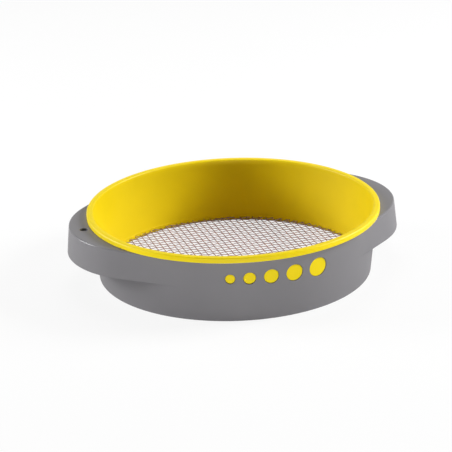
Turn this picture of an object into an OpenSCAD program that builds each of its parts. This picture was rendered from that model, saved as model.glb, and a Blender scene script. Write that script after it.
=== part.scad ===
// Sand sieve: a round frame of two moulded skins, with a hand grip on each side
// and a wire mesh floor that the inner skin's foot holds. Millimetres, +Z up. The
// origin is on the ground under the middle. The grips lie along X, the front is -Y.

/* [Rim] */
// Outer radius of the rim's lip
rim_r = 120; // [105:1:150]
// Height of the rim's top above the ground
rim_h = 55.5; // [45:0.5:75]
// Height of the lip's outer edge
lip_h = 4.5; // [3:0.1:6]
// How far the lip stands out past the shell
lip_overhang = 2.4; // [1.2:0.1:4]
// Rounding of the lip's upper edges
lip_round = 1.7; // [0.8:0.1:1.9]

/* [Shell] */
// How far the shell's wall draws in from its top to the ground
shell_draft = 5.3; // [2:0.1:9]
// Thickness of the shell's wall
shell_t = 1.8; // [1.4:0.1:2.4]
// Rounding of the outer top edges of the shell and its grips
edge_round = 1.2; // [0.6:0.1:1.8]

/* [Bowl] */
// Thickness of the bowl's wall
bowl_t = 1.5; // [1.2:0.1:2.2]
// Gap between the two skins just above the bowl's foot
skin_gap = 0.95; // [0.6:0.05:3]
// Height of the bowl's foot above the ground
foot_z = 1; // [0.6:0.1:2]
// Height of the part of the foot that lies below the mesh
foot_under_h = 1.65; // [1:0.05:3]
// Height of the part of the foot that lies above the mesh
foot_over_h = 1.5; // [1:0.1:2.4]
// How far the foot stands in past the bowl's wall
foot_step = 0.3; // [0.2:0.1:1]

/* [Grips] */
// How far each grip stands out past the shell's top edge
grip_reach = 18.4; // [14:0.1:24]
// Radius of a grip's outer curve in plan
grip_arc_r = 73; // [62:1:95]
// Depth of a grip's skirt
grip_depth = 23; // [16:0.1:30]
// How far a skirt leans out from top to bottom
grip_flare = 2.4; // [0.5:0.1:4]
// Thickness of a skirt
skirt_t = 2.2; // [1.5:0.1:3]
// Thickness of a grip's top plate
plate_t = 2.4; // [1.6:0.1:3.2]
// Diameter of the hanging hole
hang_d = 6.5; // [4:0.5:8]
// Distance of the hanging hole's centre from the rim's lip
hang_offset = 5.4; // [4.5:0.1:8]

/* [Mesh] */
// Distance between neighbouring wires
wire_pitch = 5.2; // [4:0.1:8]
// Diameter of a wire
wire_d = 0.7; // [0.5:0.05:1.2]
// How far the wires reach into the bowl's foot
wire_grip = 1.3; // [0.8:0.1:1.5]

/* [Windows] */
// Diameter of the smallest window in the front
window_min_d = 8; // [5:0.5:9]
// Growth in diameter from one window to the next
window_growth = 2; // [1:0.1:2.4]
// Width of the wall left between neighbouring windows
window_web = 6; // [4:0.5:9]
// Depth of the windows' centres below the shell's top edge
window_drop = 14.4; // [12:0.2:18]
// How deep the pads in the windows sit below the shell's face
pad_recess = 0.5; // [0.2:0.1:1]

/* [Hidden] */

$fn = 128;
overrun = 1;            // how far a cut runs past what it cuts
fit_gap = 0.15;         // clearance between the two skins where they seat
wire_gap = 0.05;        // clearance round each wire
wire_end_gap = 0.15;    // clearance at each wire's ends
window_gap = 0.25;      // clearance between a pad and its window
blend_sink = 0.06;      // how far a grip's side web lies inside the curves it joins
round_steps = 5;        // straight steps in a rounded edge

// Levels
shell_h = rim_h - lip_h - fit_gap;
groove_z = foot_z + foot_under_h;
lower_wire_z = groove_z + wire_gap + wire_d / 2;
upper_wire_z = lower_wire_z + wire_d + wire_gap;
groove_top_z = upper_wire_z + wire_d / 2 + wire_gap;
foot_top_z = groove_top_z + foot_over_h;
skirt_z = shell_h - grip_depth;
window_z = shell_h - window_drop;

// Radii of the shell's faces at a height
shell_top_r = rim_r - lip_overhang;
shell_slope = shell_draft / shell_h;
function shell_out_r(z) = shell_top_r - shell_slope * (shell_h - z);
function shell_in_r(z) = shell_out_r(z) - shell_t;

// Radii of the bowl's faces at a height
bowl_top_r = shell_in_r(shell_h) - fit_gap - bowl_t;
bowl_low_r = shell_in_r(foot_top_z) - skin_gap - bowl_t;
bowl_slope = (bowl_top_r - bowl_low_r) / (shell_h - foot_top_z);
function bowl_in_r(z) = bowl_top_r - bowl_slope * (shell_h - z);
function bowl_out_r(z) = bowl_in_r(z) + bowl_t;

// Radii of the opening that the mesh closes, the wires' ends and the groove that
// holds them, and of the foot's outer face at a height
sieve_r = bowl_low_r - foot_step;
wire_reach_r = sieve_r + wire_grip;
groove_r = wire_reach_r + wire_end_gap;
function foot_out_r(z) = shell_in_r(z) - fit_gap;

// Snap lugs that hold the bowl's foot down
lug_count = 8;
lug_angle = 8;
lug_h = 4;

// Centres of a grip's outer curve and of the hanging hole
grip_x = shell_top_r + grip_reach - grip_arc_r;
hang_x = rim_r + hang_offset;

// Wires on each side of the middle one
wires_per_side = floor(sieve_r / wire_pitch);

// Windows, counted from the smallest: each one's diameter, the run of its centre
// along the wall from the first one's centre, and its angle from the front
window_last = 4;
function window_d(i) = window_min_d + i * window_growth;
function window_step(i) = (window_d(i - 1) + window_d(i)) / 2 + window_web;
function window_run(i) = i == 0 ? 0 : window_run(i - 1) + window_step(i);
window_row = window_run(window_last) + (window_d(window_last) - window_d(0)) / 2;
function window_angle(i) =
    (window_run(i) - window_row / 2) / shell_out_r(window_z) * 180 / PI;

// Points of an arc round a centre, in steps from one angle to another
function arc(centre, r, from, to) = [
    for (i = [0 : round_steps])
        let (turn = from + (to - from) * i / round_steps)
        centre + r * [cos(turn), sin(turn)]
];

// Section of a solid of revolution that stands on low_z and ends in a flat top at
// top_z: its side runs straight from low_r to top_r, with the top edge rounded
module rounded_section(low_r, low_z, top_r, top_z, round_r) {
    lean = atan2(top_r - low_r, top_z - low_z);
    centre_x = top_r - round_r * tan(lean) - round_r / cos(lean);
    polygon(concat(
        [[0, low_z], [low_r, low_z]],
        arc([centre_x, top_z - round_r], round_r, -lean, 90),
        [[0, top_z]]
    ));
}

// Solid between four-cornered outlines, listed from the lowest up
module loft(levels) {
    last = len(levels) - 1;
    polyhedron(
        points = [for (level = levels) each level],
        faces = concat(
            [[0, 1, 2, 3]],
            [
                for (k = [0 : last - 1], i = [0 : 3])
                    let (a = 4 * k + i, b = 4 * k + (i + 1) % 4)
                    each [[a, a + 4, b], [a + 4, b + 4, b]]
            ],
            [[for (i = [3 : -1 : 0]) 4 * last + i]]
        )
    );
}

// The ring's outer form, solid to the axis
module ring_form() {
    rotate_extrude() rounded_section(shell_out_r(0), 0, shell_top_r, shell_h, edge_round);
}

// Radius of a grip's outer curve at a height
function grip_r(z) = grip_arc_r + grip_flare * (shell_h - z) / grip_depth;

// Corners, at height z, of the web that joins the ring's curve to a grip's curve
// along their common tangents, drawn in all round by inset
function web_corners(z, inset) =
    let (
        ring_r = shell_out_r(z) - inset - blend_sink,
        curve_r = grip_r(z) - inset - blend_sink,
        turn = acos((ring_r - curve_r) / grip_x),
        on_ring = ring_r * [cos(turn), sin(turn)],
        on_curve = [grip_x, 0] + curve_r * [cos(turn), sin(turn)]
    )
    [
        [on_ring.x, -on_ring.y, z],
        [on_curve.x, -on_curve.y, z],
        [on_curve.x, on_curve.y, z],
        [on_ring.x, on_ring.y, z]
    ];

// A grip's outer form, from the skirt's bottom to the rounded top edge
module grip_form() {
    translate([grip_x, 0, 0])
        rotate_extrude()
            rounded_section(grip_r(skirt_z), skirt_z, grip_arc_r, shell_h, edge_round);
    loft(concat(
        [web_corners(skirt_z, 0)],
        [
            for (p = arc([0, shell_h - edge_round], edge_round, 0, 90))
                web_corners(p.y, edge_round - p.x)
        ]
    ));
}

// The finger space under a grip's top plate
module grip_hollow() {
    roof_z = shell_h - plate_t;
    low_z = skirt_z - overrun;
    translate([grip_x, 0, low_z])
        cylinder(h = roof_z - low_z, r1 = grip_r(low_z) - skirt_t, r2 = grip_r(roof_z) - skirt_t);
    loft([web_corners(low_z, skirt_t), web_corners(roof_z, skirt_t)]);
}

// A grip: a top plate with a skirt round its edge
module grip() {
    difference() {
        grip_form();
        grip_hollow();
    }
}

// The space inside the shell, which is open at the top and at the bottom
module shell_hollow() {
    low_z = -overrun;
    high_z = shell_h + overrun;
    translate([0, 0, low_z])
        cylinder(h = high_z - low_z, r1 = shell_in_r(low_z), r2 = shell_in_r(high_z));
}

// Snap lugs on the shell's inner wall, which reach over the bowl's foot as far as
// the bowl's wall
module snap_lugs() {
    low_z = foot_top_z + fit_gap;
    high_z = low_z + lug_h;
    root_t = shell_t / 2;
    for (i = [0 : lug_count - 1])
        rotate([0, 0, 360 * (i + 0.5) / lug_count - lug_angle / 2])
            rotate_extrude(angle = lug_angle)
                polygon([
                    [bowl_out_r(low_z) + fit_gap, low_z],
                    [shell_in_r(low_z) + root_t, low_z],
                    [shell_in_r(high_z) + root_t, high_z]
                ]);
}

// Round bars that point out through the front wall at the windows' places, each
// narrower than its window by inset all round
module window_bars(inset) {
    for (i = [0 : window_last])
        rotate([0, 0, window_angle(i)])
            translate([0, -sieve_r, window_z])
                rotate([90, 0, 0])
                    cylinder(h = rim_r - sieve_r, d = window_d(i) - 2 * inset);
}

module outer_shell() {
    color("dimgray") {
        difference() {
            union() {
                ring_form();
                grip();
                mirror([1, 0, 0]) grip();
            }
            shell_hollow();
            translate([-hang_x, 0, shell_h - plate_t - overrun])
                cylinder(h = plate_t + 2 * overrun, d = hang_d);
            window_bars(0);
        }
        snap_lugs();
    }
}

// The bowl's section: a foot with a groove that holds the mesh, a leaning wall and
// a lip that laps over the shell's top edge
module bowl_section() {
    lip_z = rim_h - lip_h;
    lean = atan(bowl_slope);
    arc_z = rim_h - lip_round;
    polygon(concat(
        [
            [sieve_r, foot_z],
            [foot_out_r(foot_z), foot_z],
            [foot_out_r(foot_top_z), foot_top_z],
            [bowl_out_r(foot_top_z), foot_top_z],
            [bowl_out_r(lip_z), lip_z],
            [rim_r, lip_z]
        ],
        arc([rim_r - lip_round, arc_z], lip_round, 0, 90),
        arc([bowl_in_r(arc_z) + lip_round / cos(lean), arc_z], lip_round, 90, 180 - lean),
        [
            [bowl_in_r(foot_top_z), foot_top_z],
            [sieve_r, foot_top_z],
            [sieve_r, groove_top_z],
            [groove_r, groove_top_z],
            [groove_r, groove_z],
            [sieve_r, groove_z]
        ]
    ));
}

// Round pads on the bowl that fill the shell's windows
module pads() {
    reach = window_d(window_last);
    low_z = window_z - reach;
    high_z = window_z + reach;
    root_t = bowl_t / 2;
    intersection() {
        window_bars(window_gap);
        rotate_extrude()
            polygon([
                [bowl_in_r(low_z) + root_t, low_z],
                [shell_out_r(low_z) - pad_recess, low_z],
                [shell_out_r(high_z) - pad_recess, high_z],
                [bowl_in_r(high_z) + root_t, high_z]
            ]);
    }
}

module inner_bowl() {
    color("gold") {
        rotate_extrude() bowl_section();
        pads();
    }
}

// Parallel wires that run along Y, side by side across the opening, at height z
module wires(z) {
    for (i = [-wires_per_side : wires_per_side]) {
        x = i * wire_pitch;
        half_run = sqrt(pow(wire_reach_r, 2) - pow(abs(x) + wire_d / 2, 2));
        translate([x, half_run, z])
            rotate([90, 0, 0])
                cylinder(h = 2 * half_run, d = wire_d);
    }
}

module warp_wires() {
    color("silver") wires(lower_wire_z);
}

module weft_wires() {
    color("silver") rotate([0, 0, 90]) wires(upper_wire_z);
}

outer_shell();
inner_bowl();
warp_wires();
weft_wires();
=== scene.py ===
"""Sand sieve: a grey moulded shell with a grip on each side, a yellow bowl with a
rounded lip that snaps into it, and a woven wire floor that the bowl's foot holds."""

import math
from contextlib import contextmanager

import bmesh
import bpy
from bpy.props import FloatProperty, FloatVectorProperty, IntProperty, PointerProperty
from bpy.types import Operator, Panel, PropertyGroup
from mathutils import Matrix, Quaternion, Vector


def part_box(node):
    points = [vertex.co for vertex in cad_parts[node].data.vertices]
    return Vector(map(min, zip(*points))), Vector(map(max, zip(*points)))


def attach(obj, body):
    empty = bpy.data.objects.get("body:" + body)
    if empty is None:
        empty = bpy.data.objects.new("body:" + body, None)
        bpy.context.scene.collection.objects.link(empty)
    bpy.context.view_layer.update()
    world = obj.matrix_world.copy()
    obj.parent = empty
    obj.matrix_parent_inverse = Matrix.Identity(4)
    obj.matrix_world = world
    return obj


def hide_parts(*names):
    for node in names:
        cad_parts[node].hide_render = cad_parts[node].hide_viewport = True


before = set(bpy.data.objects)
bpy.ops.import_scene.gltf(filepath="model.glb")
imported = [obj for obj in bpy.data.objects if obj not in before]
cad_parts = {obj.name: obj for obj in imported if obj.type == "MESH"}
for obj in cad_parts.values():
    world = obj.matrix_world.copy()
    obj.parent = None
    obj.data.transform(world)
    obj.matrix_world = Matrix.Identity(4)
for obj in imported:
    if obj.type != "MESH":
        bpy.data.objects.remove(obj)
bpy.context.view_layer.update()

bl_info = {
    "name": "Sand sieve",
    "version": (1, 0, 0),
    "blender": (4, 5, 0),
    "location": "View3D > Sidebar > Sand sieve",
    "description": "Models a round hand sieve for sand, its finishes and a plain studio",
    "category": "Add Mesh",
}

MM = 0.001

# How fine the meshes are: vertices closer than MERGE are one, edges under SLIVER are dissolved
MERGE = 0.008 * MM
SLIVER = 0.001 * MM
SIDES = 448
DISC_SIDES = 72
ROUND_STEPS = 5
SMOOTH_ANGLE = math.radians(32)

# Finishes: where most of a noise texture's values lie, how far a plastic's tone drifts to each
# side, how far towards white a rubbed edge goes, and where an edge's polish ends below a flat top
NOISE_RANGE = (0.3, 0.7)
TONE_DRIFT = 0.02
WORN_PALE = 0.16
POLISH_STOP = 0.15 * MM

# The studio: how white the backdrop shows in gloss, how white the floor is for the light that it
# throws back, how much of the floor's own white shows near the sieve, and the even light all round
WHITE = (1.0, 1.0, 1.0, 1.0)
GLOSS_WHITE = 0.5
FLOOR_BOUNCE = 0.8
FLOOR_GLOW = 0.87
EVEN_LIGHT = 0.02

# An azimuth of 0 is on the right and 90 behind the sieve; sizes are width and height
LAMPS = {
    "lamp_right": dict(azimuth=-6.4, elevation=30.0, distance=1.6, size=(0.6, 0.6), power=25.2),
    "lamp_left": dict(azimuth=153.0, elevation=21.0, distance=1.6, size=(0.7, 0.5), power=19.3),
    "lamp_front": dict(azimuth=-108.0, elevation=1.0, distance=1.6, size=(1.4, 0.05), power=11.0),
    "lamp_behind": dict(azimuth=76.0, elevation=62.0, distance=1.8, size=(1.0, 1.0), power=9.0),
}

SHELL_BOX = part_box("outer_shell")
BOWL_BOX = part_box("inner_bowl")
WARP_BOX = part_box("warp_wires")
WEFT_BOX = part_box("weft_wires")
RIM_RADIUS = BOWL_BOX[1].x
SHELL_HEIGHT = SHELL_BOX[1].z


def middle_z(box):
    """Height of a box's middle"""
    return (box[0].z + box[1].z) / 2


def length(name, description, default):
    """A size in metres"""
    return FloatProperty(
        name=name, description=description, default=default, min=0.0, precision=5, unit="LENGTH"
    )


def degrees(name, description, default):
    """An angle, given in degrees"""
    return FloatProperty(
        name=name, description=description, default=math.radians(default), subtype="ANGLE"
    )


def colour(name, description, default):
    """A colour in linear light"""
    return FloatVectorProperty(
        name=name, description=description, default=default, size=3, min=0.0, max=1.0, subtype="COLOR"
    )


class ShellSizes(PropertyGroup):
    """Sizes of the grey shell"""

    height: length("Height", "Height of the top edge", SHELL_HEIGHT)
    top_radius: length("Top radius", "Outer radius at the top edge", RIM_RADIUS - 2.4 * MM)
    draft: length("Draft", "How far the wall draws in from the top to the ground", 5.3 * MM)
    wall: length("Wall", "Thickness of the wall", 1.8 * MM)
    top_round: length("Top rounding", "Rounding of the outer top edge", 1.2 * MM)
    edge: length("Edge rounding", "Rounding of the other edges", 0.4 * MM)
    grip_reach: length("Grip reach", "How far a grip stands out past the top edge", 18.4 * MM)
    grip_curve: length("Grip curve", "Radius of a grip's outer curve in plan", 73.0 * MM)
    grip_depth: length("Grip depth", "Depth of a grip's skirt", 23.0 * MM)
    grip_flare: length("Grip flare", "How far a skirt leans out from top to bottom", 2.4 * MM)
    skirt: length("Skirt", "Thickness of a skirt", 2.2 * MM)
    plate: length("Plate", "Thickness of a grip's top plate", 2.4 * MM)
    hole: length("Hole", "Diameter of the hanging hole", 6.5 * MM)
    hole_offset: length("Hole offset", "Distance of the hanging hole from the lip", 5.4 * MM)

    def outer(self, z):
        """Outer radius of the wall at a height"""
        return self.top_radius - self.draft * (self.height - z) / self.height

    def inner(self, z):
        """Inner radius of the wall at a height"""
        return self.outer(z) - self.wall

    @property
    def skirt_z(self):
        return self.height - self.grip_depth

    def outline(self, angle, z, inset=0.0):
        """Distance from the axis of the outline of wall and grips, drawn in by inset"""
        offset = self.top_radius + self.grip_reach - self.grip_curve
        ring = self.outer(z) - inset
        curve = self.grip_curve + self.grip_flare * (self.height - z) / self.grip_depth - inset
        side = abs((angle + math.pi / 2) % math.pi - math.pi / 2)
        tangent = math.acos((ring - curve) / offset)
        if side >= tangent:
            return ring
        if side <= math.atan2(curve * math.sin(tangent), offset + curve * math.cos(tangent)):
            across = offset * math.sin(side)
            return offset * math.cos(side) + math.sqrt(curve**2 - across**2)
        return ring / math.cos(side - tangent)


class BowlSizes(PropertyGroup):
    """Sizes of the yellow bowl"""

    wall: length("Wall", "Thickness of the wall", 1.5 * MM)
    skin_gap: length("Skin gap", "Gap to the shell's wall just above the foot", 0.95 * MM)
    foot_z: length("Foot height", "Height of the foot's underside", BOWL_BOX[0].z)
    foot: length("Foot", "Height of the foot, which the mesh is moulded into", 4.7 * MM)
    foot_step: length("Foot step", "How far the foot stands in past the wall", 0.3 * MM)
    foot_round: length("Foot rounding", "Rounding of the step between foot and wall", 0.14 * MM)
    foot_low_round: length("Foot low rounding", "Rounding of the foot's edge below the mesh", 1.5 * MM)
    lip: length("Lip", "Height of the lip's outer edge", 4.5 * MM)
    lip_round: length("Lip rounding", "Rounding of the lip's upper edges", 1.7 * MM)
    edge: length("Edge rounding", "Rounding of the other edges", 0.35 * MM)
    fit: length("Fit", "Clearance between the bowl and the shell", 0.15 * MM)


class WindowSizes(PropertyGroup):
    """Sizes of the row of round windows in the front and of the pads that fill them"""

    count: IntProperty(name="Count", description="Number of windows", default=5, min=1, max=7)
    smallest: length("Smallest", "Diameter of the smallest window", 8.0 * MM)
    growth: length("Growth", "Growth in diameter from one window to the next", 2.0 * MM)
    web: length("Web", "Width of the wall left between two windows", 6.0 * MM)
    drop: length("Drop", "Depth of the centres below the shell's top edge", 14.4 * MM)
    recess: length("Recess", "How deep the pads sit below the shell's face", 0.5 * MM)
    gap: length("Gap", "Clearance between a pad and its window", 0.25 * MM)
    edge: length("Edge rounding", "Rounding of a window's outer edge", 0.35 * MM)

    def places(self, shell):
        """Diameter and angle from the front of each window"""
        sizes = [self.smallest + self.growth * k for k in range(self.count)]
        runs = [0.0]
        for before, after in zip(sizes, sizes[1:]):
            runs.append(runs[-1] + (before + after) / 2 + self.web)
        middle = (runs[-1] + (sizes[-1] - sizes[0]) / 2) / 2
        radius = shell.outer(shell.height - self.drop)
        return [(size, (run - middle) / radius) for size, run in zip(sizes, runs)]


class MeshSizes(PropertyGroup):
    """Sizes of the woven wire floor"""

    pitch: length("Pitch", "Distance between neighbouring wires", 5.2 * MM)
    wire: length("Wire", "Diameter of a wire", WARP_BOX[1].z - WARP_BOX[0].z)
    reach: length("Reach", "Radius of the disc that the wires end at", WARP_BOX[1].y)
    low: length("Lower level", "Height of the lowest turns' centres", middle_z(WARP_BOX))
    high: length("Upper level", "Height of the highest turns' centres", middle_z(WEFT_BOX))
    wires: IntProperty(
        name="Wires", description="Wires on each side of the middle one", default=20, min=1, max=60
    )


class Finishes(PropertyGroup):
    """Colours of the finishes"""

    grey: colour("Grey", "Moulded grey plastic of the shell", (0.22, 0.214, 0.225))
    yellow: colour("Yellow", "Moulded yellow plastic of the bowl", (0.95, 0.73, 0.0))
    zinc: colour("Zinc", "Coated wire of the mesh", (0.40, 0.237, 0.24))


class StudioSettings(PropertyGroup):
    """Camera and light of the studio"""

    azimuth: degrees("Azimuth", "How far the camera stands round from the front", -16.435)
    elevation: degrees("Elevation", "How far the camera looks down", 20.67)
    roll: degrees("Roll", "How far the camera is tipped sideways", -2.033)
    distance: length("Distance", "Distance of the camera from its aim", 1.419)
    lens: FloatProperty(name="Lens", description="Focal length", default=137.316, unit="CAMERA")
    aim: FloatVectorProperty(
        name="Aim", description="Point that the camera looks at", unit="LENGTH",
        default=(-6.091 * MM, 1.81 * MM, 36.154 * MM),
    )
    floor: length("Floor", "Width of the floor", 12.0)


class SieveSettings(PropertyGroup):
    """All settings of the sieve"""

    shell: PointerProperty(type=ShellSizes)
    bowl: PointerProperty(type=BowlSizes)
    windows: PointerProperty(type=WindowSizes)
    mesh: PointerProperty(type=MeshSizes)
    finishes: PointerProperty(type=Finishes)
    studio: PointerProperty(type=StudioSettings)


def pick(*pieces):
    """Selects these pieces alone, and makes the first one active"""
    bpy.ops.object.select_all(action="DESELECT")
    for piece in pieces:
        piece.select_set(True)
    bpy.context.view_layer.objects.active = pieces[0]


@contextmanager
def edit_mode(piece):
    """Opens one piece in edit mode, and closes it again"""
    pick(piece)
    bpy.ops.object.mode_set(mode="EDIT")
    yield
    bpy.ops.object.mode_set(mode="OBJECT")


def apply_modifier(piece, kind, **settings):
    """Adds a modifier with these settings to the piece, and applies it"""
    pick(piece)
    bpy.ops.object.modifier_add(type=kind)
    modifier = piece.modifiers[-1]
    for name, value in settings.items():
        setattr(modifier, name, value)
    bpy.ops.object.modifier_apply(modifier=modifier.name)


def name_piece(piece, name):
    """Names the piece and its mesh"""
    piece.name = name
    piece.data.name = name


def copy_piece(piece):
    """A copy of the piece with its own mesh"""
    copy = piece.copy()
    copy.data = piece.data.copy()
    bpy.context.collection.objects.link(copy)
    return copy


def circle(name, sides, radius, location, **how):
    """A new circle, with its place in its mesh"""
    bpy.ops.object.select_all(action="DESELECT")
    bpy.ops.mesh.primitive_circle_add(vertices=sides, radius=radius, location=location, **how)
    piece = bpy.context.object
    name_piece(piece, name)
    bpy.ops.object.transform_apply(location=True, rotation=True, scale=True)
    return piece


def select_all():
    """Selects all of the open piece"""
    bpy.ops.mesh.select_all(action="SELECT")


def extrude(step=(0, 0, 0)):
    """Extrudes what is selected by a step"""
    bpy.ops.mesh.extrude_region_move(TRANSFORM_OT_translate={"value": step})


def widen(radius, next_radius):
    """Scales what is selected about the sieve's axis, from one radius to the next"""
    scale = next_radius / radius
    bpy.ops.transform.resize(value=(scale, scale, 1), center_override=(0, 0, 0))


def move(piece, place):
    """Moves each selected vertex of the piece to where place puts it"""
    mesh = bmesh.from_edit_mesh(piece.data)
    for vertex in mesh.verts:
        if vertex.select:
            vertex.co = place(vertex.co)
    bmesh.update_edit_mesh(piece.data)


def select_where(piece, kind, test):
    """Selects the vertices (VERT) or faces (FACE) of the open piece that test accepts"""
    bpy.ops.mesh.select_mode(type=kind)
    bpy.ops.mesh.select_all(action="DESELECT")
    mesh = bmesh.from_edit_mesh(piece.data)
    for part in mesh.verts if kind == "VERT" else mesh.faces:
        part.select = test(part)
    mesh.select_flush_mode()
    bmesh.update_edit_mesh(piece.data)


def turn_by(angle):
    """Turns what is selected about the sieve's axis"""
    # With no window, the operator turns the other way
    bpy.ops.transform.rotate(value=-angle, orient_axis="Z", center_override=(0, 0, 0))


def close_up():
    """Merges doubled vertices of the open piece and points its faces outwards"""
    select_all()
    bpy.ops.mesh.remove_doubles(threshold=MERGE)
    bpy.ops.mesh.normals_make_consistent(inside=False)


def join(pieces):
    """Joins pieces into the first one"""
    pick(*pieces)
    bpy.ops.object.join()
    return pieces[0]


def combine(piece, tool, operation):
    """Adds a tool solid to the piece or cuts it out, deletes the tool and dissolves the slivers
    that this leaves"""
    apply_modifier(piece, "BOOLEAN", operation=operation, solver="EXACT", object=tool)
    bpy.data.objects.remove(tool)
    with edit_mode(piece):
        select_all()
        bpy.ops.mesh.dissolve_degenerate(threshold=SLIVER)


def smooth(piece):
    """Smooth shading in which the large faces set the normals, with sharp edges kept"""
    pick(piece)
    bpy.ops.object.shade_smooth_by_angle(angle=SMOOTH_ANGLE)
    apply_modifier(piece, "WEIGHTED_NORMAL", keep_sharp=True)


def edge_arc(radius):
    """Points of a quarter round, as how far in and how far along, from (radius, 0) to (0, radius)"""
    turns = [math.pi / 2 * k / ROUND_STEPS for k in range(ROUND_STEPS + 1)]
    return [(radius * (1 - math.sin(turn)), radius * (1 - math.cos(turn))) for turn in turns]


def rounded(corners):
    """Points of a closed section, from corners (radius, height, rounding)"""
    points = []
    for k, (x, z, radius) in enumerate(corners):
        here = Vector((x, z))
        to_last = (Vector(corners[k - 1][:2]) - here).normalized()
        to_next = (Vector(corners[(k + 1) % len(corners)][:2]) - here).normalized()
        half = to_last.angle(to_next) / 2
        centre = here + (to_last + to_next).normalized() * radius / math.sin(half)
        start = here + to_last * radius / math.tan(half) - centre
        end = here + to_next * radius / math.tan(half) - centre
        sweep = math.pi - 2 * half
        for step in range(ROUND_STEPS + 1):
            share = step / ROUND_STEPS
            bend = start * math.sin((1 - share) * sweep) + end * math.sin(share * sweep)
            points.append(tuple(centre + bend / math.sin(sweep)))
    return points


def turned(name, sides, section):
    """A closed ring: a circle is extruded round the points (radius, height) of its section"""
    piece = circle(name, sides, section[0][0], (0, 0, section[0][1]))
    with edit_mode(piece):
        select_all()
        for (radius, z), (next_radius, next_z) in zip(section, section[1:] + section[:1]):
            extrude((0, 0, next_z - z))
            widen(radius, next_radius)
        close_up()
    return piece


def polar(angle, radius, z):
    """A point by its angle and distance from the sieve's axis"""
    return Vector((radius * math.cos(angle), radius * math.sin(angle), z))


def add_loop(piece, radius_at, z):
    """Extrudes the selected loop to height z, at radius_at(angle) from the axis"""
    extrude()

    def place(co):
        angle = math.atan2(co.y, co.x)
        return polar(angle, radius_at(angle), z)

    move(piece, place)


def add_ring(piece, radius, z):
    """Extrudes the selected loop to a circle at height z"""
    add_loop(piece, lambda angle: radius, z)


def raise_roof(piece, shell, z, thickness):
    """Extrudes the grips' open mouths up to height z, between the wall and the skirts, and closes
    them where the two meet"""
    extrude()

    def place(co):
        angle = math.atan2(co.y, co.x)
        radius = shell.outer(z)
        if math.hypot(co.x, co.y) > shell.outer(co.z) + MERGE:
            radius = max(radius, shell.outline(angle, z, thickness))
        return polar(angle, radius, z)

    move(piece, place)
    bpy.ops.mesh.remove_doubles(threshold=MERGE)


def shell_body(shell):
    """The shell's wall and grips, from the ground up the outside and down the inside"""
    edge = shell.edge
    top = shell.height
    skirt_z = shell.skirt_z
    support = shell.top_round / 2

    def skirt_edge(z, inset):
        return lambda angle: max(shell.outer(z), shell.outline(angle, z, inset))

    def side(z, inset):
        return lambda angle: shell.outline(angle, z, inset)

    piece = circle("shell", SIDES, shell.outer(0) - edge, (0, 0, 0))
    with edit_mode(piece):
        select_all()
        for inset, rise in edge_arc(edge)[1:]:
            add_ring(piece, shell.outer(rise) - inset, rise)
        add_ring(piece, shell.outer(skirt_z), skirt_z)
        add_loop(piece, skirt_edge(skirt_z, shell.skirt - edge), skirt_z)
        for inset, rise in edge_arc(edge):
            add_loop(piece, skirt_edge(skirt_z + rise, inset), skirt_z + rise)
        for z in (skirt_z + edge + support, top - shell.top_round - support):
            add_loop(piece, side(z, 0), z)
        for inset, drop in reversed(edge_arc(shell.top_round)):
            add_loop(piece, side(top - drop, inset), top - drop)
        add_ring(piece, shell.inner(top), top)
        for inset, rise in reversed(edge_arc(edge)):
            add_ring(piece, shell.inner(rise) + inset, rise)
        add_ring(piece, shell.outer(0) - edge, 0)
        close_up()
        open_grips(piece, shell)
        close_up()
    return piece


def open_grips(piece, shell):
    """Hollows the grips from below, with rounded inner edges at their mouths"""
    edge = shell.edge
    skirt_z = shell.skirt_z
    roof_z = shell.height - shell.plate

    def in_mouth(face):
        centre = face.calc_center_median()
        if any(abs(vertex.co.z - skirt_z) > MERGE for vertex in face.verts):
            return False
        angle = math.atan2(centre.y, centre.x)
        return math.hypot(centre.x, centre.y) < shell.outline(angle, skirt_z, shell.skirt - edge)

    select_where(piece, "FACE", in_mouth)
    for inset, rise in edge_arc(edge)[1:]:
        raise_roof(piece, shell, skirt_z + rise, shell.skirt - inset)
    levels = 4
    for k in range(1, levels + 1):
        share = k / levels
        raise_roof(piece, shell, skirt_z + edge + (roof_z - skirt_z - edge) * share, shell.skirt)


def snap_lugs(shell, tip_radius, low_z):
    """Eight lugs on the shell's inner wall, which reach over the bowl's foot"""
    count = 8
    width = math.radians(8)
    depth = 4.0 * MM
    steps = 6
    high_z = low_z + depth
    root = shell.wall / 2
    corners = [
        (tip_radius, low_z),
        (shell.inner(low_z) + root, low_z),
        (shell.inner(high_z) + root, high_z),
    ]
    piece = circle("lugs", len(corners), 1.0, (0, 0, 0), fill_type="NGON")
    with edit_mode(piece):
        mesh = bmesh.from_edit_mesh(piece.data)
        for vertex, (x, z) in zip(mesh.verts, corners):
            vertex.co = (x, 0, z)
        bmesh.update_edit_mesh(piece.data)
        select_all()
        bpy.ops.mesh.spin(steps=steps, angle=width, center=(0, 0, 0), axis=(0, 0, 1))
        select_all()
        turn_by(math.pi / count + width / 2)
        bpy.ops.mesh.spin(
            steps=count - 1, angle=math.tau * (count - 1) / count, dupli=True,
            center=(0, 0, 0), axis=(0, 0, 1),
        )
        close_up()
    return piece


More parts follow.
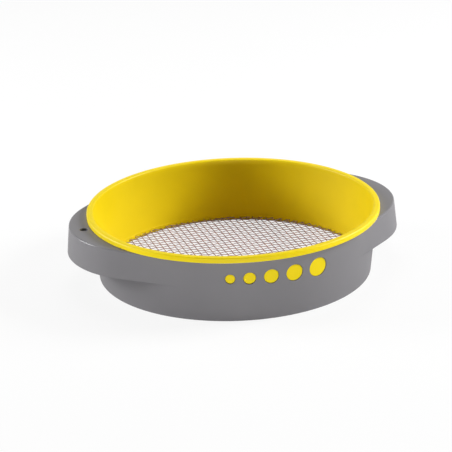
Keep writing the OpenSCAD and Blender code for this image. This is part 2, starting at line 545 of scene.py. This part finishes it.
def wall_disc(name, centre_z, angle, loops):
    """A round solid that points out through the front wall. Each loop is a radius and a surface,
    which gives the distance from the sieve's axis at a height, so that it follows the curved wall"""
    widest, face = loops[0]
    first_radius = widest / 3

    def lay(radius, surface):
        def place(co):
            across = Vector((co.x, co.z - centre_z))
            across = across.normalized() * radius if across.length > MERGE else across
            z = centre_z + across.y
            return Vector((across.x, -math.sqrt(surface(z) ** 2 - across.x**2), z))

        return place

    def off_centre(vertex):
        return math.hypot(vertex.co.x, vertex.co.z - centre_z) > MERGE

    piece = circle(
        name, DISC_SIDES, first_radius, (0, 0, centre_z),
        rotation=(math.pi / 2, 0, 0), fill_type="TRIFAN",
    )
    with edit_mode(piece):
        select_all()
        move(piece, lay(first_radius, face))
        select_where(piece, "VERT", off_centre)
        for radius, surface in [(widest * 2 / 3, face), *loops]:
            extrude()
            move(piece, lay(radius, surface))
        bpy.ops.mesh.edge_face_add()
        bpy.ops.mesh.poke()
        close_up()
        turn_by(angle)
    return piece


def window_cutter(shell, windows, size, angle):
    """What is cut out of the wall for a window, with a rounded outer edge"""
    overrun = 0.08 * MM
    depth = 1.0 * MM
    edge = windows.edge
    loops = [(size / 2 + edge + overrun, lambda z: shell.outer(z) + overrun)]
    for inset, drop in edge_arc(edge)[1:]:
        loops.append((size / 2 + inset, lambda z, drop=drop: shell.outer(z) - drop))
    loops.append((size / 2, lambda z: shell.inner(z) - depth))
    return wall_disc("window", shell.height - windows.drop, angle, loops)


def hole_cutter(shell):
    """What is cut out of a grip's top plate for the hanging hole, with rounded edges"""
    overrun = 0.1 * MM
    edge = shell.edge
    radius = shell.hole / 2
    top = shell.height
    roof = top - shell.plate
    stack = [(radius + edge + overrun, top + overrun)]
    stack += [(radius + inset, top - drop) for inset, drop in edge_arc(edge)[1:]]
    stack += [(radius + inset, roof + rise) for inset, rise in reversed(edge_arc(edge)[1:])]
    stack += [(radius + edge + overrun, roof - overrun)]
    piece = circle("hole", DISC_SIDES, stack[0][0], (0, 0, stack[0][1]), fill_type="NGON")
    with edit_mode(piece):
        select_all()
        for (wide, z), (next_wide, next_z) in zip(stack, stack[1:]):
            extrude((0, 0, next_z - z))
            widen(wide, next_wide)
        close_up()
        bpy.ops.transform.translate(value=(-(RIM_RADIUS + shell.hole_offset), 0, 0))
    return piece


def bowl_radii(sieve):
    """The bowl's inner radius by height, and the radius of the opening that the mesh closes"""
    shell = sieve.shell
    bowl = sieve.bowl
    foot_top = bowl.foot_z + bowl.foot
    top_radius = shell.inner(shell.height) - bowl.fit - bowl.wall
    low_radius = shell.inner(foot_top) - bowl.skin_gap - bowl.wall
    slope = (top_radius - low_radius) / (shell.height - foot_top)

    def inner(z):
        return top_radius - slope * (shell.height - z)

    return inner, low_radius - bowl.foot_step


def model_shell(sieve):
    """The grey shell"""
    shell = sieve.shell
    bowl = sieve.bowl
    inner = bowl_radii(sieve)[0]
    lug_z = bowl.foot_z + bowl.foot + bowl.fit
    piece = shell_body(shell)
    combine(piece, snap_lugs(shell, inner(lug_z) + bowl.wall + bowl.fit, lug_z), "UNION")
    cutters = [
        window_cutter(shell, sieve.windows, size, angle)
        for size, angle in sieve.windows.places(shell)
    ]
    combine(piece, join([*cutters, hole_cutter(shell)]), "DIFFERENCE")
    smooth(piece)
    return piece


def model_bowl(sieve):
    """The yellow bowl, with the pads that fill the windows"""
    shell = sieve.shell
    bowl = sieve.bowl
    windows = sieve.windows
    inner, sieve_radius = bowl_radii(sieve)
    foot_top = bowl.foot_z + bowl.foot
    rim_z = BOWL_BOX[1].z
    lip_z = rim_z - bowl.lip
    edge = bowl.edge
    piece = turned("bowl", SIDES, rounded([
        (sieve_radius, bowl.foot_z, bowl.foot_low_round),
        (shell.inner(bowl.foot_z) - bowl.fit, bowl.foot_z, edge),
        (shell.inner(foot_top) - bowl.fit, foot_top, edge),
        (inner(foot_top) + bowl.wall, foot_top, edge),
        (inner(lip_z) + bowl.wall, lip_z, edge),
        (RIM_RADIUS, lip_z, edge),
        (RIM_RADIUS, rim_z, bowl.lip_round),
        (inner(rim_z), rim_z, bowl.lip_round),
        (inner(foot_top), foot_top, bowl.foot_round),
        (sieve_radius, foot_top, bowl.foot_round),
    ]))

    def face(depth):
        return lambda z: shell.outer(z) - windows.recess - depth

    pads = []
    for size, angle in windows.places(shell):
        radius = size / 2 - windows.gap
        loops = [(radius - inset, face(depth)) for inset, depth in edge_arc(edge)]
        loops.append((radius, lambda z: inner(z) + bowl.wall / 2))
        pads.append(wall_disc("pad", shell.height - windows.drop, angle, loops))
    combine(piece, join(pads), "UNION")
    smooth(piece)
    return piece


def crimped_wire(mesh):
    """One long wire along Y with the weave's waves in it, its crest at y = 0"""
    steps = 8
    sides = 8
    spare_waves = 4
    waves = mesh.wires + spare_waves
    middle = (mesh.low + mesh.high) / 2
    swing = (mesh.high - mesh.low) / 2
    wave = 2 * mesh.pitch

    def level(y):
        return middle + swing * math.cos(math.tau * y / wave)

    def tilt(y):
        return math.atan(-swing * math.tau / wave * math.sin(math.tau * y / wave))

    start = -waves / 2 * wave
    piece = circle(
        "wire", sides, mesh.wire / 2, (0, start, level(start)), rotation=(math.pi / 2, 0, 0)
    )
    with edit_mode(piece):
        select_all()
        for k in range(steps):
            y = start + wave * k / steps
            next_y = y + wave / steps
            extrude((0, next_y - y, level(next_y) - level(y)))
            bpy.ops.transform.rotate(
                value=tilt(y) - tilt(next_y), orient_axis="X",
                center_override=(0, next_y, level(next_y)),
            )
        close_up()
    apply_modifier(
        piece, "ARRAY", count=waves, use_relative_offset=False, use_constant_offset=True,
        constant_offset_displace=(0, wave, 0), use_merge_vertices=True, merge_threshold=MERGE,
    )
    return piece


def cut_wire(master, mesh, index):
    """A copy of the long wire at its place in the weave, cut to length with closed ends"""
    piece = copy_piece(master)
    x = index * mesh.pitch
    half_run = math.sqrt(mesh.reach**2 - (abs(x) + mesh.wire / 2) ** 2)
    with edit_mode(piece):
        select_all()
        bpy.ops.transform.translate(value=(x, (index % 2) * mesh.pitch, 0))
        for end in (-1, 1):
            select_all()
            bpy.ops.mesh.bisect(
                plane_co=(x, end * half_run, 0), plane_no=(0, end, 0),
                use_fill=True, clear_outer=True,
            )
        close_up()
    return piece


def model_mesh(sieve):
    """The woven floor: wires along Y, and wires along X that pass them over and under"""
    mesh = sieve.mesh
    master = crimped_wire(mesh)
    warp = join([cut_wire(master, mesh, k) for k in range(-mesh.wires, mesh.wires + 1)])
    name_piece(warp, "warp_weave")
    bpy.data.objects.remove(master)
    weft = copy_piece(warp)
    name_piece(weft, "weft_weave")
    middle = (0, 0, (mesh.low + mesh.high) / 2)
    with edit_mode(weft):
        select_all()
        turn_by(math.pi / 2)
        bpy.ops.transform.rotate(value=math.pi, orient_axis="X", center_override=middle)
    for piece in (warp, weft):
        smooth(piece)
    return warp, weft


class Nodes:
    """A node tree with short calls to fill it"""

    def __init__(self, tree):
        self.tree = tree
        self.link = tree.links.new

    def add(self, kind, inputs=None, **settings):
        """A new node, with its settings and with values or links for its inputs"""
        node = self.tree.nodes.new(kind)
        for name, value in settings.items():
            setattr(node, name, value)
        for name, value in (inputs or {}).items():
            if isinstance(value, bpy.types.NodeSocket):
                self.link(value, node.inputs[name])
            else:
                node.inputs[name].default_value = value
        return node

    def group(self, tree, inputs):
        """The outputs of a placed node group"""
        return self.add("ShaderNodeGroup", inputs, node_tree=tree).outputs

    def height(self, place):
        """The height of a place"""
        return self.add("ShaderNodeSeparateXYZ", {"Vector": place}).outputs["Z"]

    def noise(self, place, scale, detail):
        """The value of a noise texture"""
        inputs = {"Vector": place, "Scale": scale, "Detail": detail}
        return self.add("ShaderNodeTexNoise", inputs).outputs["Fac"]

    def calculate(self, operation, first, second):
        """The result of an operation on two values"""
        return self.add("ShaderNodeMath", {0: first, 1: second}, operation=operation).outputs[0]

    def carry(self, value, low, high, to_low=0.0, to_high=1.0, soft=False):
        """A value carried over from one range to another"""
        return self.add(
            "ShaderNodeMapRange",
            {"Value": value, "From Min": low, "From Max": high, "To Min": to_low, "To Max": to_high},
            interpolation_type="SMOOTHSTEP" if soft else "LINEAR",
        ).outputs["Result"]

    def mix(self, kind, share, first, second):
        """A blend of two values (FLOAT) or two colours (RGBA)"""
        inputs = {"Factor": share, "A": first, "B": second}
        return self.add("ShaderNodeMix", inputs, data_type=kind).outputs["Result"]

    def bump(self, height, strength, distance):
        """The normal that a relief gives"""
        inputs = {"Height": height, "Strength": strength, "Distance": distance}
        return self.add("ShaderNodeBump", inputs).outputs["Normal"]


def new_group(name, values, results):
    """A shader node group with a Vector and values as inputs: its nodes and its two ends' sockets"""
    tree = bpy.data.node_groups.new(name, "ShaderNodeTree")
    new_socket = tree.interface.new_socket
    new_socket(name="Vector", in_out="INPUT", socket_type="NodeSocketVector")
    for socket, value in values.items():
        made = new_socket(name=socket, in_out="INPUT", socket_type="NodeSocketFloat")
        made.default_value = value
    for socket in results:
        new_socket(name=socket, in_out="OUTPUT", socket_type="NodeSocketFloat")
    nodes = Nodes(tree)
    return nodes, nodes.add("NodeGroupInput").outputs, nodes.add("NodeGroupOutput").inputs


def moulding_grain():
    """The satin grain of a spark-eroded mould, and the slow drift of tone that moulding leaves"""
    nodes, given, result = new_group(
        "moulding_grain", {"Grain Scale": 2200.0, "Drift Scale": 26.0}, ["Height", "Drift"]
    )
    nodes.link(nodes.noise(given["Vector"], given["Grain Scale"], detail=2.0), result["Height"])
    nodes.link(nodes.noise(given["Vector"], given["Drift Scale"], detail=3.0), result["Drift"])
    return nodes.tree


def handling_wear():
    """Fine rubbed patches on an edge that is handled: a mask between two heights, broken by noise"""
    patch_range = (0.52, 0.72)
    nodes, given, result = new_group(
        "handling_wear", {"Low": 0.0, "High": 1.0, "Scale": 240.0}, ["Mask"]
    )
    band = nodes.carry(nodes.height(given["Vector"]), given["Low"], given["High"], soft=True)
    patches = nodes.noise(given["Vector"], given["Scale"], detail=5.0)
    mask = nodes.calculate("MULTIPLY", band, nodes.carry(patches, *patch_range))
    nodes.link(mask, result["Mask"])
    return nodes.tree


def edge_polish():
    """A band between two heights, where a rounded edge is rubbed smooth: a mask with soft sides"""
    nodes, given, result = new_group(
        "edge_polish", {"Low": 0.0, "High": 1.0, "Softness": 0.1 * MM}, ["Mask"]
    )
    height = nodes.height(given["Vector"])
    below = nodes.calculate("SUBTRACT", given["Low"], given["Softness"])
    above = nodes.calculate("ADD", given["High"], given["Softness"])
    rise = nodes.carry(height, below, given["Low"], soft=True)
    fall = nodes.carry(height, above, given["High"], soft=True)
    nodes.link(nodes.calculate("MULTIPLY", rise, fall), result["Mask"])
    return nodes.tree


def new_material(name):
    """A material with a Principled shader, and its node tree"""
    material = bpy.data.materials.new(name)
    material.use_nodes = True
    nodes = Nodes(material.node_tree)
    return material, nodes, material.node_tree.nodes["Principled BSDF"]


def tinted(shade, share):
    """A shade made darker or lighter, with the alpha that a colour socket takes"""
    return (*(min(1.0, c * share) for c in shade), 1.0)


def plastic(name, shade, groups, grain, drift, roughness, bump, wear, polish):
    """A moulded plastic: grain in its surface, a slow drift of tone, and lightly rubbed edges.
    bump is a strength and a depth, wear two heights and a share, polish two heights and a
    roughness."""
    rub_start, rub_full, rub_share = wear
    polish_low, polish_high, polished = polish
    material, nodes, shader = new_material(name)
    place = nodes.add("ShaderNodeTexCoord").outputs["Object"]
    surface = nodes.group(groups["grain"], {"Vector": place, "Grain Scale": grain, "Drift Scale": drift})
    rubbed = nodes.group(groups["wear"], {"Vector": place, "Low": rub_start, "High": rub_full})
    smoothed = nodes.group(groups["polish"], {"Vector": place, "Low": polish_low, "High": polish_high})
    tone = nodes.carry(surface["Drift"], *NOISE_RANGE)
    base = nodes.mix("RGBA", tone, tinted(shade, 1 - TONE_DRIFT), tinted(shade, 1 + TONE_DRIFT))
    pale = (*(c + (1 - c) * WORN_PALE for c in shade), 1.0)
    worn = nodes.mix("RGBA", nodes.calculate("MULTIPLY", rubbed["Mask"], rub_share), base, pale)
    nodes.link(worn, shader.inputs["Base Color"])
    gloss = nodes.carry(surface["Drift"], *NOISE_RANGE, *roughness)
    nodes.link(nodes.mix("FLOAT", smoothed["Mask"], gloss, polished), shader.inputs["Roughness"])
    nodes.link(nodes.bump(surface["Height"], *bump), shader.inputs["Normal"])
    return material, shader


def grey_plastic(sieve, groups):
    """Satin grey plastic of the shell, rubbed along its lowest edge and polished on the grips'
    top edge"""
    shell = sieve.shell
    material, shader = plastic(
        "grey_plastic", tuple(sieve.finishes.grey), groups, grain=2400.0, drift=22.0,
        roughness=(0.54, 0.62), bump=(0.25, 0.03 * MM), wear=(1.6 * MM, 0.0, 0.6),
        polish=(shell.height - shell.top_round, shell.height - POLISH_STOP, 0.22),
    )
    shader.inputs["IOR"].default_value = 1.49
    shader.inputs["Specular IOR Level"].default_value = 0.35
    return material


def yellow_plastic(sieve, groups):
    """Yellow plastic of the bowl, a little glossier, rubbed along the top of the lip"""
    rim_z = BOWL_BOX[1].z
    material, shader = plastic(
        "yellow_plastic", tuple(sieve.finishes.yellow), groups, grain=1700.0, drift=30.0,
        roughness=(0.46, 0.54), bump=(0.16, 0.03 * MM), wear=(rim_z - 1.2 * MM, rim_z, 0.2),
        polish=(rim_z - sieve.bowl.lip_round, rim_z - POLISH_STOP, 0.42),
    )
    shader.inputs["IOR"].default_value = 1.47
    shader.inputs["Specular IOR Level"].default_value = 0.3
    return material


def zinc_wire(sieve, groups):
    """Drawn and zinc-coated wire, cloudy and a little dull"""
    clouds = 0.2
    roughness = (0.45, 0.60)
    material, nodes, shader = new_material("zinc_wire")
    place = nodes.add("ShaderNodeTexCoord").outputs["Object"]
    coat = nodes.group(groups["grain"], {"Vector": place, "Grain Scale": 5200.0, "Drift Scale": 420.0})
    shade = tuple(sieve.finishes.zinc)
    tone = nodes.carry(coat["Drift"], *NOISE_RANGE)
    base = nodes.mix("RGBA", tone, tinted(shade, 1 - clouds), tinted(shade, 1 + clouds))
    nodes.link(base, shader.inputs["Base Color"])
    gloss = nodes.carry(coat["Drift"], *NOISE_RANGE, *roughness)
    nodes.link(gloss, shader.inputs["Roughness"])
    relief = nodes.bump(coat["Height"], strength=0.2, distance=0.01 * MM)
    nodes.link(relief, shader.inputs["Normal"])
    shader.inputs["Metallic"].default_value = 0.6
    return material


def shared_groups():
    """The node groups that the materials share, built once"""
    makers = {"grain": moulding_grain, "wear": handling_wear, "polish": edge_polish}
    return {
        key: bpy.data.node_groups.get(make.__name__) or make() for key, make in makers.items()
    }


def finish_piece(piece, node, material):
    """Gives a piece its material, lets it ride on the sieve and stand for its CAD node"""
    piece.data.materials.clear()
    piece.data.materials.append(material)
    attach(piece, "root")
    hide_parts(node)


def backdrop_rays(nodes):
    """How white the backdrop is for a ray: fully for the camera's own and through glass, less in
    gloss, and not at all for the light that it throws back"""
    path = nodes.add("ShaderNodeLightPath").outputs
    gloss = nodes.calculate("MULTIPLY", path["Is Glossy Ray"], GLOSS_WHITE)
    seen = nodes.calculate("MAXIMUM", gloss, path["Is Camera Ray"])
    return nodes.calculate("MAXIMUM", seen, path["Is Transmission Ray"])


def floor_material():
    """Paper white to the camera and in reflections, with a soft shadow left on it near the sieve,
    and clear from below"""
    near = 0.9
    far = 1.8
    material, nodes, shader = new_material("studio_floor")
    shader.inputs["Roughness"].default_value = 0.9
    shader.inputs["Specular IOR Level"].default_value = 0.0
    shown = backdrop_rays(nodes)
    nodes.link(nodes.carry(shown, 0.0, 1.0, FLOOR_BOUNCE, 1.0), shader.inputs["Base Color"])
    place = nodes.add("ShaderNodeTexCoord").outputs["Object"]
    away = nodes.add("ShaderNodeVectorMath", {0: place}, operation="LENGTH").outputs["Value"]
    glow = nodes.carry(away, near, far, FLOOR_GLOW, 1.0, soft=True)
    share = nodes.calculate("MULTIPLY", shown, glow)
    white = nodes.add("ShaderNodeEmission", {"Color": WHITE, "Strength": 1.0}).outputs[0]
    lit = nodes.add("ShaderNodeMixShader", {0: share, 1: shader.outputs["BSDF"], 2: white}).outputs[0]
    clear = nodes.add("ShaderNodeBsdfTransparent").outputs[0]
    below = nodes.add("ShaderNodeNewGeometry").outputs["Backfacing"]
    one_sided = nodes.add("ShaderNodeMixShader", {0: below, 1: lit, 2: clear}).outputs[0]
    nodes.link(one_sided, nodes.tree.nodes["Material Output"].inputs["Surface"])
    return material


def soft_light(name, aim, azimuth, elevation, distance, size, power):
    """A white rectangular lamp that looks at aim"""
    across = math.radians(azimuth)
    up = math.radians(elevation)
    away = Vector((math.cos(across) * math.cos(up), math.sin(across) * math.cos(up), math.sin(up)))
    data = bpy.data.lights.new(name, "AREA")
    data.shape = "RECTANGLE"
    data.size, data.size_y = size
    data.energy = power
    lamp = bpy.data.objects.new(name, data)
    lamp.location = aim + away * distance
    lamp.rotation_euler = (-away).to_track_quat("-Z", "Y").to_euler()
    bpy.context.scene.collection.objects.link(lamp)


def build_camera(studio):
    """The camera at the photograph's angle, distance and slight roll"""
    level = math.cos(studio.elevation)
    forward = Vector((
        -math.sin(studio.azimuth) * level, math.cos(studio.azimuth) * level, -math.sin(studio.elevation)
    ))
    data = bpy.data.cameras.new("camera")
    data.lens = studio.lens
    data.clip_end = 50.0
    camera = bpy.data.objects.new("camera", data)
    camera.location = Vector(studio.aim) - forward * studio.distance
    camera.rotation_mode = "QUATERNION"
    turn = forward.to_track_quat("-Z", "Y")
    camera.rotation_quaternion = turn @ Quaternion((0, 0, 1), studio.roll)
    bpy.context.scene.collection.objects.link(camera)
    bpy.context.scene.camera = camera


def build_world():
    """A weak even light, white where it is seen"""
    world = bpy.data.worlds.new("studio")
    bpy.context.scene.world = world
    world.use_nodes = True
    nodes = Nodes(world.node_tree)
    strength = nodes.carry(backdrop_rays(nodes), 0.0, 1.0, EVEN_LIGHT, 1.0)
    background = world.node_tree.nodes["Background"]
    background.inputs["Color"].default_value = WHITE
    nodes.link(strength, background.inputs["Strength"])


class SIEVE_OT_shell(Operator):
    """Model the grey shell with its grips, windows, hanging hole and lugs"""

    bl_idname = "sieve.shell"
    bl_label = "Shell"

    def execute(self, context):
        sieve = context.scene.sieve
        material = grey_plastic(sieve, shared_groups())
        finish_piece(model_shell(sieve), "outer_shell", material)
        return {"FINISHED"}


class SIEVE_OT_bowl(Operator):
    """Model the yellow bowl with its lip, foot and pads"""

    bl_idname = "sieve.bowl"
    bl_label = "Bowl"

    def execute(self, context):
        sieve = context.scene.sieve
        material = yellow_plastic(sieve, shared_groups())
        finish_piece(model_bowl(sieve), "inner_bowl", material)
        return {"FINISHED"}


class SIEVE_OT_mesh(Operator):
    """Weave the wire floor from two sets of crimped wires"""

    bl_idname = "sieve.mesh"
    bl_label = "Wire mesh"

    def execute(self, context):
        sieve = context.scene.sieve
        material = zinc_wire(sieve, shared_groups())
        warp, weft = model_mesh(sieve)
        finish_piece(warp, "warp_wires", material)
        finish_piece(weft, "weft_wires", material)
        return {"FINISHED"}


class SIEVE_OT_stage(Operator):
    """Set up the floor, the lamps and the camera"""

    bl_idname = "sieve.stage"
    bl_label = "Stage"

    def execute(self, context):
        studio = context.scene.sieve.studio
        build_camera(studio)
        build_world()
        bpy.ops.object.select_all(action="DESELECT")
        bpy.ops.mesh.primitive_plane_add(size=studio.floor, location=(0, 0, 0))
        floor = bpy.context.object
        floor.name = "floor"
        floor.data.materials.append(floor_material())
        for name, lamp in LAMPS.items():
            soft_light(name, Vector(studio.aim), **lamp)
        context.scene.view_settings.view_transform = "Standard"
        return {"FINISHED"}


class SIEVE_PT_panel(Panel):
    """Sizes, finishes and pieces of the sand sieve"""

    bl_idname = "SIEVE_PT_panel"
    bl_label = "Sand sieve"
    bl_space_type = "VIEW_3D"
    bl_region_type = "UI"
    bl_category = "Sand sieve"

    def draw(self, context):
        sieve = context.scene.sieve
        for label, group in (
            ("Shell", sieve.shell), ("Bowl", sieve.bowl), ("Windows", sieve.windows),
            ("Wire mesh", sieve.mesh), ("Finishes", sieve.finishes), ("Studio", sieve.studio),
        ):
            box = self.layout.box()
            box.label(text=label)
            for name in group.__annotations__:
                box.prop(group, name)
        for operator in OPERATORS:
            self.layout.operator(operator.bl_idname)


SETTINGS = (
    ShellSizes, BowlSizes, WindowSizes, MeshSizes, Finishes, StudioSettings, SieveSettings,
)
OPERATORS = (SIEVE_OT_stage, SIEVE_OT_shell, SIEVE_OT_bowl, SIEVE_OT_mesh)


def register():
    for cls in (*SETTINGS, *OPERATORS, SIEVE_PT_panel):
        bpy.utils.register_class(cls)
    bpy.types.Scene.sieve = PointerProperty(type=SieveSettings)


def unregister():
    del bpy.types.Scene.sieve
    for cls in reversed((*SETTINGS, *OPERATORS, SIEVE_PT_panel)):
        bpy.utils.unregister_class(cls)


def main():
    """Makes the stage and the pieces"""
    register()
    bpy.ops.sieve.stage()
    bpy.ops.sieve.shell()
    bpy.ops.sieve.bowl()
    bpy.ops.sieve.mesh()


if __name__ == "__main__":
    main()
